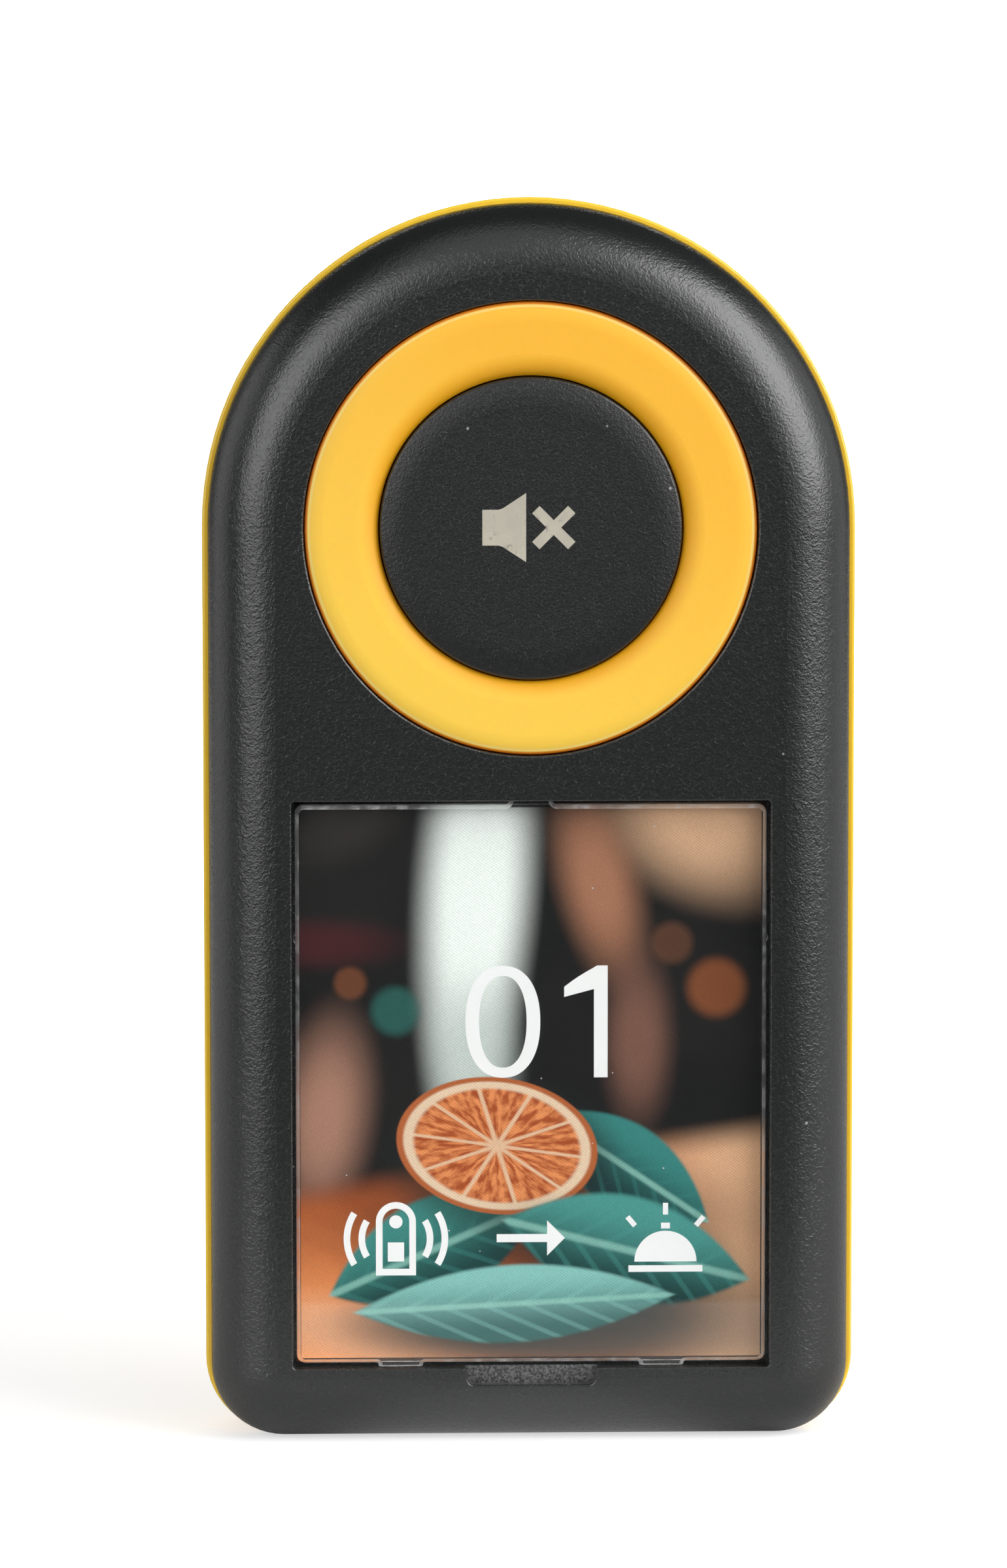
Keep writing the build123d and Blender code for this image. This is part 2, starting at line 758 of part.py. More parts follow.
# ---- Write every sub-part
save("front_shell", front_shell())
save("rear_shell", rear_shell())
save("case_screws", *[case_screw(x, z) for x, z in boss_points])
save("light_ring", light_ring())
save("light_box", light_box())
save("ring_leds", *[ring_led(angle) for angle in around(led_count)])
save("mute_button", mute_button())
save("switch_plunger", switch_plunger())
save("tact_switch", tact_switch())
save("window_cover", window_cover())
save("insert_card", insert_card())
save("main_pcb", main_pcb())
save("pcb_screws", *[pcb_screw(x, z) for x, z in post_points])
save("logic_chip", logic_chip())
save("passives", *passives())
save("radio_board", block(radio_w, radio_h, pcb_back, pcb_back + radio_t, radio_x, radio_z))
radio_face = pcb_back + radio_t
save("radio_shield", block(shield_size, shield_size, radio_face, radio_face + shield_t,
                           radio_x, radio_z - shield_drop))
save("crystal", block(crystal_w, crystal_h, radio_face, radio_face + crystal_t,
                      radio_x, radio_z + crystal_rise))
save("antenna_track", antenna_track())
save("battery_cell", battery_cell())
save("battery_tape", block(cell_w - 2 * tape_margin, cell_h - 2 * tape_margin, cell_back, rear_inside,
                           0, cell_low + cell_h / 2))
save("battery_foam", block(cell_w - 2 * tape_margin, cell_h - 2 * tape_margin, pcb_back, cell_front,
                           0, cell_low + cell_h / 2))
save("battery_board", block(board_w, board_t, cell_y - board_d / 2, cell_y + board_d / 2,
                            0, cell_top + board_t / 2))
save("battery_tabs", *[battery_tab(side) for side in (-1, 1)])
save("motor_can", motor_can())
save("motor_boot", motor_boot())
save("motor_shaft", motor_shaft())
save("eccentric_weight", eccentric_weight())
save("motor_contacts", *[motor_contact(level) for level in (-1, 1)])
save("buzzer", buzzer())
save("buzzer_gasket", tube(buzzer_r, buzzer_r - gasket_wall, pcb_back + buzzer_height, rear_inside,
                           buzzer_x, buzzer_z))
save("charge_contacts", *[charge_contact(side) for side in (-1, 1)])
save("contact_pins", *[contact_pin(side) for side in (-1, 1)])
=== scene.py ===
"""Finish, printing and studio of the guest pager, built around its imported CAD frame.

Everything is in metres in the frame of the CAD model: the pager stands on z = 0, faces -Y
and has +X to its right seen from the front.
"""
import math

import bmesh
import bpy
from mathutils import Matrix, Vector


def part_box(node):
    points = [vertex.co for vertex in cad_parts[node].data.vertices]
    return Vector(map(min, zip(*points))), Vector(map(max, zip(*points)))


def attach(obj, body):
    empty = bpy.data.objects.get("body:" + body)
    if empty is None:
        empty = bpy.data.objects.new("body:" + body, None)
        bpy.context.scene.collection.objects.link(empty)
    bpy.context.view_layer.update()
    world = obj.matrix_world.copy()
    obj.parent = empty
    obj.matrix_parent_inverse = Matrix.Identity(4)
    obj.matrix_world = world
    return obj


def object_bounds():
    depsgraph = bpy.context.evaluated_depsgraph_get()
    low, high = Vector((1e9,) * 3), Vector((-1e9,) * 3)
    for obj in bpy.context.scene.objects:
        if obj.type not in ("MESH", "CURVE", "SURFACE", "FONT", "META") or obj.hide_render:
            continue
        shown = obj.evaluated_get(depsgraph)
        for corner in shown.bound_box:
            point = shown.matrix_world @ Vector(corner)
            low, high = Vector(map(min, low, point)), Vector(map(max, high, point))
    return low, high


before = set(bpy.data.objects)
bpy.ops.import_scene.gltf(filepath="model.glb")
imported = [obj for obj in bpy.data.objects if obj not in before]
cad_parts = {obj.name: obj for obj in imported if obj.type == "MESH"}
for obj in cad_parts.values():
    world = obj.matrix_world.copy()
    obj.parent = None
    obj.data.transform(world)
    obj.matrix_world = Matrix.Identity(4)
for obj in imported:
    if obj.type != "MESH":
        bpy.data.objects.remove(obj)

bl_info = {
    "name": "Guest Pager",
    "version": (1, 0, 0),
    "blender": (4, 5, 0),
    "location": "View3D > Sidebar > Guest Pager",
    "description": "Finishes, prints and lights a guest pager with a ring light and a card window",
    "category": "Object",
}

MM = 0.001
CAD_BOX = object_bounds()
RING_LOW, RING_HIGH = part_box("light_ring")
RING_CENTRE = (RING_LOW + RING_HIGH) / 2
CAP_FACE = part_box("mute_button")[0].y
CARD_LOW, CARD_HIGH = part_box("insert_card")
CARD_CENTRE = (CARD_LOW + CARD_HIGH) / 2
INK_HEIGHT = 0.012 * MM

# Places of the ring's painted shade and painted highlight, as distances from the middle of the ring
BORE_SHADE = (15.4 * MM, 13.5 * MM)
GLINT_IN = (19.34 * MM, 19.5 * MM)
GLINT_OUT = (19.66 * MM, 19.56 * MM)
RIM_SHADE = (19.6 * MM, 19.74 * MM)

# Sandy floor of the finger notch: half its width, its top and foot below the card, its depths
NOTCH_HALF = 5.9 * MM
NOTCH_TOP = 0.1 * MM
NOTCH_FOOT = 2.1 * MM
NOTCH_DEPTHS = (0.5 * MM, 1.7 * MM)

# Blurred room behind the still life on the card, in millimetres from the card's middle:
# x, z, half width, half height, screen levels, softness, amount, turn in degrees
ROOM_GLOWS = (
    (15.5, 23.0, 7.5, 5.0, (214, 172, 136), 0.7, 0.95, 24.0),
    (6.0, 18.0, 2.8, 7.0, (176, 122, 92), 0.7, 0.85, -14.0),
    (-16.0, 23.5, 4.5, 2.6, (122, 112, 104), 0.7, 0.1, -30.0),
    (-4.8, 17.5, 4.2, 16.0, (240, 246, 240), 0.5, 1.0, 4.0),
    (-5.2, 2.0, 3.0, 6.0, (196, 206, 200), 0.8, 0.95, 0.0),
    (-19.0, 12.5, 6.0, 1.8, (70, 22, 26), 0.7, 0.8, 0.0),
    (-18.4, -3.0, 3.2, 7.0, (184, 136, 114), 0.75, 0.8, 8.0),
    (9.5, 4.0, 2.4, 6.0, (132, 92, 76), 0.7, 0.8, 0.0),
    (16.5, 8.5, 2.5, 2.5, (170, 96, 50), 0.3, 0.5, 0.0),
    (12.5, 12.5, 1.8, 1.8, (104, 66, 44), 0.3, 0.6, 0.0),
    (-12.0, 6.5, 2.1, 2.1, (40, 98, 90), 0.3, 0.75, 0.0),
    (-16.0, 9.0, 1.4, 1.4, (132, 76, 44), 0.3, 0.55, 0.0),
)

# Lamps: name, degrees from the front towards +X, rise in degrees, distance, width, height, share of the power
LAMPS = (
    ("left_softbox", -41, 18, 1.1, 0.75, 0.9, 0.6),
    ("left_wall", -38, 18, 1.5, 1.8, 1.2, 0.52),
    ("right_softbox", 57, 28, 1.1, 0.85, 1.0, 1.5),
    ("right_wall", 53, 25, 1.5, 2.4, 1.5, 1.65),
    ("top_softbox", -10, 62, 1.3, 1.0, 1.0, 0.24),
    ("low_reflector", 0, -38, 0.8, 0.8, 0.2, 0.04),
    ("side_left_softbox", -108, 14, 1.2, 0.9, 0.9, 0.25),
    ("side_right_softbox", 112, 14, 1.2, 0.9, 0.9, 0.2),
    ("back_softbox", 180, 12, 0.95, 0.45, 0.4, 0.46),
)
LAMP_AIM = Vector((0.0, 0.0, 0.06))

# Paper sweep: half its width, its reach behind the pager, the height of its back, the radius of its bend
SWEEP_HALF = 0.5
SWEEP_DEPTH = 1.2
SWEEP_RISE = 0.4
SWEEP_BEND = 0.3

# Camera: place to the side, turns in degrees, lens and sensor in millimetres
CAMERA_SIDE = -17.7 * MM
CAMERA_PITCH = 5.42
CAMERA_YAW = 1.64
CAMERA_ROLL = -0.04
CAMERA_LENS = 139.6
CAMERA_SENSOR = 36.0


def srgb(red, green, blue):
    """Linear colour of the screen levels from 0 to 255."""
    levels = [level / 255 for level in (red, green, blue)]
    return tuple(c / 12.92 if c <= 0.04045 else ((c + 0.055) / 1.055) ** 2.4 for c in levels)


def shades(base, less, more):
    """Two tones of a colour, its levels times each share."""
    return tuple(tuple(min(1.0, level * share) for level in base) for share in (less, more))


# ---- Settings
def size(name, description, default):
    """A length that a user may change."""
    return bpy.props.FloatProperty(
        name=name, description=description, default=default, min=0.0, precision=5, unit="LENGTH")


def colour(name, description, default):
    """A colour that a user may change."""
    return bpy.props.FloatVectorProperty(
        name=name, description=description, default=default, min=0.0, max=1.0, size=3, subtype="COLOR")


class PagerFinishSettings(bpy.types.PropertyGroup):
    """Colours and grain of the moulded parts."""
    shell_black: colour("Front shell", "Black of the front shell", (0.0056, 0.0068, 0.0066))
    cap_black: colour("Mute button", "Black of the mute button", (0.0032, 0.0040, 0.0040))
    shell_yellow: colour("Rear shell", "Yellow of the rear shell", srgb(255, 204, 58))
    ring_amber: colour("Light ring", "Amber of the translucent ring", srgb(254, 189, 58))
    # ring_painted_light is painted light: the paler amber laid on the ring towards the lower left, where more
    # light falls.
    ring_painted_light: colour(
        "Light ring, pale", "Amber of the ring where its wall is thinnest", srgb(254, 207, 80))
    # ring_shaded is painted shade: the darker amber where the ring turns down to the button.
    ring_shaded: colour(
        "Light ring, deep", "Amber of the ring where it turns down to the button", srgb(252, 178, 22))
    mark_grey: colour("Printed mark", "Ink of the mark on the button", srgb(190, 184, 168))
    grain_size: size("Grain", "Size of the moulded grain of the black shell", 0.3 * MM)
    grain_depth: size("Grain depth", "Depth of the moulded grain of the black shell", 0.035 * MM)


class PagerMarkSettings(bpy.types.PropertyGroup):
    """Sizes of the mute mark on the button."""
    body_width: size("Speaker body", "Width of the speaker's square body", 1.6 * MM)
    body_height: size("Speaker body height", "Height of the speaker's square body", 3.14 * MM)
    horn_width: size("Speaker horn", "Width of the speaker's horn", 2.24 * MM)
    horn_height: size("Speaker horn height", "Height of the horn at its mouth", 6.06 * MM)
    horn_mouth: size("Mouth", "Horn's mouth to the left of the button's middle", 0.45 * MM)
    cross_reach: size("Cross", "Half the length of each bar of the cross", 2.23 * MM)
    cross_bar: size("Cross bar", "Width of each bar of the cross", 0.92 * MM)
    cross_offset: size("Cross place", "Middle of the cross to the right of the button's middle", 1.98 * MM)
    rise: size("Rise", "Middle of the mark above the button's middle", 0.12 * MM)


class PagerCardSettings(bpy.types.PropertyGroup):
    """Printing of the card in the window."""
    ink_white: colour("White ink", "White of the number and the signs", srgb(243, 243, 242))
    digit_height: size("Digit height", "Height of the pager's number", 10.0 * MM)
    zero_width: size("Zero width", "Width of the digit zero", 6.65 * MM)
    zero_left: size("Zero place", "Middle of the zero to the left of the card's middle", 2.475 * MM)
    one_width: size("One width", "Width of the digit one", 3.86 * MM)
    one_right: size("One place", "Right edge of the one to the right of the card's middle", 6.83 * MM)
    stroke: size("Stroke", "Upright strokes of the digits", 1.22 * MM)
    thin_stroke: size("Thin stroke", "Level strokes of the digits", 0.9 * MM)
    digits_low: size("Digits", "Foot of the number above the middle of the card", 0.5 * MM)
    signs_low: size("Signs", "Foot of the row of signs below the middle of the card", 17.2 * MM)
    sign_height: size("Sign height", "Height of the row of signs", 6.6 * MM)
    sign_pitch: size("Sign pitch", "From the middle of one sign to the next", 12.0 * MM)
    raster: size("Raster", "Pitch of the print raster", 0.21 * MM)


class PagerStageSettings(bpy.types.PropertyGroup):
    """Camera, lamps and floor."""
    lamp_power: bpy.props.FloatProperty(
        name="Lamp power", description="Power of which each lamp has its share", default=7.0, min=0.0,
        unit="POWER")
    surround: bpy.props.FloatProperty(
        name="Surround", description="Level of the room's light", default=0.07, min=0.0, max=1.0)
    paper_front: size("Paper edge", "Front edge of the paper before the middle of the pager", 78.0 * MM)
    camera_distance: size("Camera distance", "Camera in front of the pager's face", 532.6 * MM)
    camera_height: size("Camera height", "Camera above the table", 109.6 * MM)


class PagerSettings(bpy.types.PropertyGroup):
    """All settings of the guest pager."""
    finish: bpy.props.PointerProperty(type=PagerFinishSettings, name="Finish", description="Moulded parts")
    mark: bpy.props.PointerProperty(type=PagerMarkSettings, name="Mark", description="Mark on the button")
    card: bpy.props.PointerProperty(type=PagerCardSettings, name="Card", description="Card in the window")
    stage: bpy.props.PointerProperty(type=PagerStageSettings, name="Stage", description="Camera and lamps")


# ---- Materials
class Finish:
    """One material, with short calls for the nodes that it is made of."""

    def __init__(self, name, base, roughness, **constants):
        self.material = bpy.data.materials.new(name)
        self.material.use_nodes = True
        self.tree = self.material.node_tree
        self.shader = self.tree.nodes["Principled BSDF"]
        self.place = self.add("ShaderNodeTexCoord").outputs["Object"]
        self.set("Base Color", base)
        self.set("Roughness", roughness)
        for socket, value in constants.items():
            self.set(socket.replace("_", " "), value)

    def set(self, socket, value):
        """Set or link one socket of the shader."""
        self.feed(self.shader.inputs[socket], value)

    def feed(self, socket, value):
        """Link an output to a socket, or write a value or colour into it."""
        if isinstance(value, bpy.types.NodeSocket):
            self.tree.links.new(value, socket)
        elif socket.type == "RGBA" and len(value) == 3:
            socket.default_value = (*value, 1.0)
        else:
            socket.default_value = value

    def add(self, kind, inputs=None, **settings):
        """Add a node. The inputs are named, or numbered where names repeat."""
        node = self.tree.nodes.new(kind)
        for name, value in settings.items():
            setattr(node, name, value)
        for key, value in (inputs or {}).items():
            self.feed(node.inputs[key], value)
        return node

    def math(self, operation, first, second=0.0):
        """One step of arithmetic."""
        return self.add("ShaderNodeMath", {0: first, 1: second}, operation=operation).outputs[0]

    def fade(self, value, start, end, low=0.0, high=1.0):
        """Smooth change from low to high while value goes from start to end."""
        inputs = {0: value, 1: start, 2: end, 3: low, 4: high}
        return self.add("ShaderNodeMapRange", inputs, interpolation_type="SMOOTHSTEP").outputs[0]

    def mix(self, factor, first, second):
        """Mix of two colours."""
        return self.add("ShaderNodeMix", {0: factor, 6: first, 7: second}, data_type="RGBA").outputs[2]

    def noise(self, scale, detail=2.0, vector=None, roughness=0.5, swirl=0.0):
        """Cloudy noise, scale in cycles for each metre."""
        inputs = {"Vector": vector or self.place, "Scale": scale, "Detail": detail, "Roughness": roughness,
                  "Distortion": swirl}
        return self.add("ShaderNodeTexNoise", inputs).outputs[0]

    def cells(self, scale, feature="F1", vector=None):
        """Node of a cell pattern, scale in cells for each metre."""
        inputs = {"Vector": vector or self.place, "Scale": scale}
        return self.add("ShaderNodeTexVoronoi", inputs, feature=feature)

    def stretch(self, scales, turn=(0.0, 0.0, 0.0), shift=(0.0, 0.0, 0.0)):
        """Place seen in a frame that is shifted, turned and then scaled."""
        inputs = {"Vector": self.place, "Location": shift, "Rotation": turn, "Scale": scales}
        return self.add("ShaderNodeMapping", inputs, vector_type="TEXTURE").outputs[0]

    def axes(self, vector):
        """The three parts of a vector."""
        return self.add("ShaderNodeSeparateXYZ", {0: vector}).outputs

    def bump(self, height, depth, strength=1.0):
        """Surface relief of the given depth in metres."""
        inputs = {"Strength": strength, "Distance": depth, "Height": height}
        return self.add("ShaderNodeBump", inputs).outputs[0]

    def between(self, value, low, high):
        """1 where the value lies between two limits."""
        above, below = self.math("GREATER_THAN", value, low), self.math("LESS_THAN", value, high)
        return self.math("MULTIPLY", above, below)

    def radius(self, across, along):
        """Distance of a place from the middle, from its two parts."""
        squares = self.math("ADD", self.math("POWER", across, 2.0), self.math("POWER", along, 2.0))
        return self.math("SQRT", squares)

    def dust(self, base, scale, share, reach, tone):
        """Base colour with a few pale specks scattered over it."""
        speck = self.cells(scale)
        chosen = self.math("GREATER_THAN", self.axes(speck.outputs["Color"])[0], 1.0 - share)
        near = self.fade(speck.outputs["Distance"], reach, reach * 0.4)
        return self.mix(self.math("MULTIPLY", chosen, near), base, tone)


def grained(name, base, roughness, grain_size, grain_depth, dust_share=0.012, **constants):
    """Moulded black plastic: fine wrinkled grain, a broader waviness and a few specks of dust."""
    finish = Finish(name, base, roughness, **constants)
    wrinkle = finish.noise(1.0 / grain_size, 0.6, swirl=1.1)
    fold = finish.noise(0.7 / grain_size, 0.5, swirl=0.9)
    crease = finish.math("ABSOLUTE", finish.math("SUBTRACT", fold, 0.5))
    broad = finish.noise(0.2 / grain_size, 1.0)
    height = finish.math("ADD", wrinkle, finish.math("MULTIPLY", crease, -0.8))
    height = finish.math("ADD", height, finish.math("MULTIPLY", broad, 0.3))
    finish.set("Normal", finish.bump(height, grain_depth))
    finish.set("Roughness", finish.fade(wrinkle, 0.3, 0.7, roughness + 0.03, roughness - 0.02))
    dark, light = shades(base, 0.75, 1.25)
    shade = finish.mix(finish.fade(wrinkle, 0.35, 0.65), dark, light)
    dusty = finish.dust(shade, 900.0, dust_share, 0.16, srgb(150, 150, 146))
    finish.set("Base Color", finish.dust(dusty, 260.0, dust_share, 0.026, srgb(205, 205, 200)))
    return finish


def moulded(name, base, roughness, mottle=0.05, texture=900.0, depth=0.004 * MM, **constants):
    """Smooth moulded plastic or rubber with a faint mottle and flow marks."""
    finish = Finish(name, base, roughness, **constants)
    cloud = finish.noise(120.0, 3.0)
    dark, light = shades(base, 1.0 - mottle, 1.0 + mottle)
    finish.set("Base Color", finish.mix(finish.fade(cloud, 0.3, 0.7), dark, light))
    fine = finish.noise(texture, 2.0)
    finish.set("Roughness", finish.fade(fine, 0.3, 0.7, roughness * 0.9, roughness * 1.12))
    finish.set("Normal", finish.bump(fine, depth))
    return finish


def metal(name, base, roughness, direction=(1.0, 1.0, 12.0), scale=900.0):
    """Drawn or plated metal: fine lines along one direction, with faint stains."""
    finish = Finish(name, base, roughness, Metallic=1.0)
    lines = finish.noise(scale, 3.0, finish.stretch(direction))
    stain = finish.noise(160.0, 4.0)
    dark, plain = shades(base, 0.82, 1.0)
    finish.set("Base Color", finish.mix(finish.fade(stain, 0.35, 0.75), plain, dark))
    finish.set("Roughness", finish.fade(lines, 0.3, 0.7, roughness * 0.75, roughness * 1.3))
    finish.set("Normal", finish.bump(lines, 0.006 * MM, 0.6))
    return finish


def dress(finish, *nodes):
    """Give a material to CAD parts."""
    for node in nodes:
        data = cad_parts[node].data
        data.materials.clear()
        data.materials.append(finish.material)


# ---- Prints
def arc(radius, start, end, steps, centre):
    """Points on an arc, in degrees from +x towards +z."""
    points = []
    for i in range(steps + 1):
        turn = math.radians(start + (end - start) * i / steps)
        points.append((centre[0] + radius * math.cos(turn), centre[1] + radius * math.sin(turn)))
    return points


def superellipse(half_width, half_height, power, steps, centre):
    """Closed loop that is squarer than an ellipse where power is above 2."""
    points = []
    for i in range(steps):
        turn = 2 * math.pi * i / steps
        across, along = math.cos(turn), math.sin(turn)
        points.append((centre[0] + half_width * math.copysign(abs(across) ** (2 / power), across),
                       centre[1] + half_height * math.copysign(abs(along) ** (2 / power), along)))
    return points


def band(radius, start, end, wide, centre, steps=18):
    """Closed outline of a stroke along an arc."""
    outer = arc(radius + wide / 2, start, end, steps, centre)
    return outer + arc(radius - wide / 2, end, start, steps, centre)


def bar(left, right, low, high):
    """Closed outline of a rectangle."""
    return [(left, low), (right, low), (right, high), (left, high)]


def ink_piece(name, outlines, depth, longest, finish, body):
    """Flat printed film at a depth in y, with edges of its mesh no longer than the given length."""
    curve = bpy.data.curves.new(name, "CURVE")
    curve.dimensions = "2D"
    curve.fill_mode = "BOTH"
    for outline in outlines:
        spline = curve.splines.new("POLY")
        spline.points.add(len(outline) - 1)
        for point, (x, z) in zip(spline.points, outline):
            point.co = (x / MM, z / MM, 0.0, 1.0)
        spline.use_cyclic_u = True
    drawing = bpy.data.objects.new(name, curve)
    bpy.context.scene.collection.objects.link(drawing)
    bpy.context.view_layer.update()
    mesh = bpy.data.meshes.new_from_object(drawing)
    bpy.data.objects.remove(drawing)
    shape = bmesh.new()
    shape.from_mesh(mesh)
    bmesh.ops.triangulate(shape, faces=shape.faces)
    while long_edges := [edge for edge in shape.edges if edge.calc_length() * MM > longest]:
        bmesh.ops.subdivide_edges(shape, edges=long_edges, cuts=1)
        bmesh.ops.triangulate(shape, faces=shape.faces)
    for vertex in shape.verts:
        vertex.co = (vertex.co.x * MM, depth, vertex.co.y * MM)
    shape.to_mesh(mesh)
    shape.free()
    mesh.materials.clear()
    mesh.materials.append(finish.material)
    piece = bpy.data.objects.new(name, mesh)
    bpy.context.scene.collection.objects.link(piece)
    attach(piece, body)


# ---- Case
def sand_and_light_notch(black):
    """Sandy moulding in the finger notch below the window, its paler tone partly painted light that lifts the
    shade of the recess.
    """
    x, y, z = black.axes(black.place)
    face = CAD_BOX[0].y
    inside = black.between(x, -NOTCH_HALF, NOTCH_HALF)
    inside = black.math("MULTIPLY", inside, black.between(z, CARD_LOW.z - NOTCH_FOOT, CARD_LOW.z - NOTCH_TOP))
    inside = black.math("MULTIPLY", inside, black.between(y, face + NOTCH_DEPTHS[0], face + NOTCH_DEPTHS[1]))
    # Painted light: the sandy tone is set far paler than the shell, lifting the recess out of its shade.
    grit_and_light = black.fade(black.noise(5200.0, 2.0), 0.35, 0.7, 0.02, 0.13)
    sandy_and_lit = black.add("ShaderNodeCombineColor", {0: grit_and_light, 1: grit_and_light, 2: grit_and_light}).outputs[0]
    plain = black.shader.inputs["Base Color"].links[0].from_socket
    black.set("Base Color", black.mix(inside, plain, sandy_and_lit))


class GuestPagerCase(bpy.types.Operator):
    """Finish the two shells and their screws"""
    bl_idname = "guest_pager.case"
    bl_label = "Case"

    def execute(self, context):
        look = context.scene.guest_pager.finish
        black = grained("grained_black_plastic", tuple(look.shell_black), 0.29, look.grain_size,
                        look.grain_depth, Specular_IOR_Level=0.92)
        sand_and_light_notch(black)
        dress(black, "front_shell")
        yellow = moulded("glossy_yellow_plastic", tuple(look.shell_yellow), 0.24, 0.012, 600.0,
                         0.002 * MM, Coat_Weight=0.25, Coat_Roughness=0.12, Subsurface_Weight=0.4,
                         Subsurface_Scale=1.2 * MM, Subsurface_Radius=(1.0, 0.6, 0.15))
        dress(yellow, "rear_shell")
        zinc = metal("zinc_plated_steel", (0.62, 0.62, 0.60), 0.32, (1.0, 8.0, 1.0))
        dress(zinc, "case_screws", "pcb_screws")
        return {"FINISHED"}


# ---- Light ring
class GuestPagerRing(bpy.types.Operator):
    """Finish the translucent ring, its white light box and its lamps"""
    bl_idname = "guest_pager.light_ring"
    bl_label = "Light Ring"

    def execute(self, context):
        look = context.scene.guest_pager.finish
        amber = Finish("translucent_amber_plastic", tuple(look.ring_amber), 0.5, Specular_IOR_Level=0.35,
                       Subsurface_Weight=0.35, Subsurface_Scale=1.5 * MM,
                       Subsurface_Radius=(1.0, 0.45, 0.08))
        x, _, z = amber.axes(amber.place)
        radius = amber.radius(x, amber.math("SUBTRACT", z, RING_CENTRE.z))
        below = amber.math("SUBTRACT", RING_CENTRE.z, z)
        # Painted light: the amber is laid paler towards the lower left and deeper towards the upper right, as
        # the light falls on the ring, with a random drift.
        slant = amber.math("SUBTRACT", below, amber.math("MULTIPLY", x, 0.5))
        drift = amber.math("MULTIPLY", amber.noise(60.0, 2.0), 8.0 * MM)
        lower_left = amber.fade(amber.math("ADD", slant, drift), -16.0 * MM, 24.0 * MM)
        tone = amber.mix(lower_left, tuple(look.ring_amber), tuple(look.ring_painted_light))
        # Painted shade on the shoulder that turns down to the button, between BORE_SHADE's radii, darker
        # still towards the lower left.
        dark, plain = shades(look.ring_shaded, 0.8, 1.0)
        tone = amber.mix(amber.fade(radius, *BORE_SHADE), tone, amber.mix(lower_left, plain, dark))
        glint = amber.math("MULTIPLY", amber.fade(radius, *GLINT_IN), amber.fade(radius, *GLINT_OUT))
        tone = amber.mix(amber.math("MULTIPLY", glint, 0.55), tone, srgb(255, 226, 150))
        # Painted shade: darker orange where the ring turns down beside the black shell.
        amber.set("Base Color", amber.mix(amber.fade(radius, *RIM_SHADE), tone, srgb(226, 124, 14)))
        fine = amber.noise(2400.0, 2.0)
        amber.set("Normal", amber.bump(fine, 0.004 * MM))
        amber.set("Roughness", amber.fade(fine, 0.3, 0.7, 0.46, 0.54))
        dress(amber, "light_ring")
        dress(moulded("satin_white_plastic", (0.86, 0.86, 0.83), 0.4), "light_box", "switch_plunger")
        lamp_body = moulded("lamp_white", (0.84, 0.82, 0.72), 0.35)
        phosphor = lamp_body.fade(lamp_body.noise(900.0), 0.45, 0.55)
        lamp_body.set("Base Color", lamp_body.mix(phosphor, (0.86, 0.84, 0.74), (0.8, 0.66, 0.2)))
        dress(lamp_body, "ring_leds")
        return {"FINISHED"}


# ---- Mute button
class GuestPagerButton(bpy.types.Operator):
    """Finish the mute button and print the mute mark on it"""
    bl_idname = "guest_pager.mute_button"
    bl_label = "Mute Button"

    def execute(self, context):
        look = context.scene.guest_pager.finish
        mark = context.scene.guest_pager.mark
        cap = grained("fine_grained_black_plastic", tuple(look.cap_black), 0.37, 0.8 * look.grain_size,
                      look.grain_depth, Specular_IOR_Level=0.74)
        dress(cap, "mute_button")
        dress(moulded("switch_black", (0.02, 0.02, 0.021), 0.4), "tact_switch")

        ink = Finish("worn_grey_ink", tuple(look.mark_grey), 0.55)
        wear = ink.noise(1400.0, 5.0, roughness=0.75)
        patch = ink.noise(420.0, 3.0)
        rub = ink.math("MULTIPLY", ink.fade(wear, 0.56, 0.66), ink.fade(patch, 0.42, 0.62))
        dark, plain = shades(look.mark_grey, 0.88, 1.0)
        tone = ink.mix(ink.fade(patch, 0.3, 0.7), dark, plain)
        ink.set("Base Color", ink.mix(ink.math("MULTIPLY", rub, 0.7), tone, (0.05, 0.05, 0.048)))
        ink.set("Normal", ink.bump(ink.noise(2600.0, 2.0), 0.01 * MM))

        shapes = [speaker_shape(mark), cross_shape(mark)]
        shapes = [[(x, RING_CENTRE.z + mark.rise + z) for x, z in shape] for shape in shapes]
        ink_piece("mute_mark", shapes, CAP_FACE - INK_HEIGHT, 0.9 * MM, ink, "button")
        return {"FINISHED"}


def speaker_shape(mark):
    """Outline of the speaker around the middle of the button: square body and flared horn."""
    mouth = -mark.horn_mouth
    neck = mouth - mark.horn_width
    back = neck - mark.body_width
    low, high = mark.body_height / 2, mark.horn_height / 2
    flare = 0.14
    steps = 8
    bend = flare * mark.horn_width
    horn = [(neck - bend, low)]
    for i in range(1, steps + 1):
        t = i / steps
        horn.append((neck + bend * (t * t - (1 - t) ** 2), low + t * t * (high - low) * flare))
    horn.append((mouth, high))
    return horn + [(x, -z) for x, z in reversed(horn)] + [(back, -low), (back, low)]


def cross_shape(mark):
    """Outline of the slanting cross to the right of the speaker."""
    reach, wide = mark.cross_reach, mark.cross_bar / 2
    turned = Matrix.Rotation(math.radians(45), 2)
    arm = [(wide, wide), (wide, reach), (-wide, reach)]
    cross = [Matrix.Rotation(math.radians(90 * k), 2) @ Vector(p) for k in range(4) for p in arm]
    return [(mark.cross_offset + p.x, p.y) for p in (turned @ p for p in cross)]


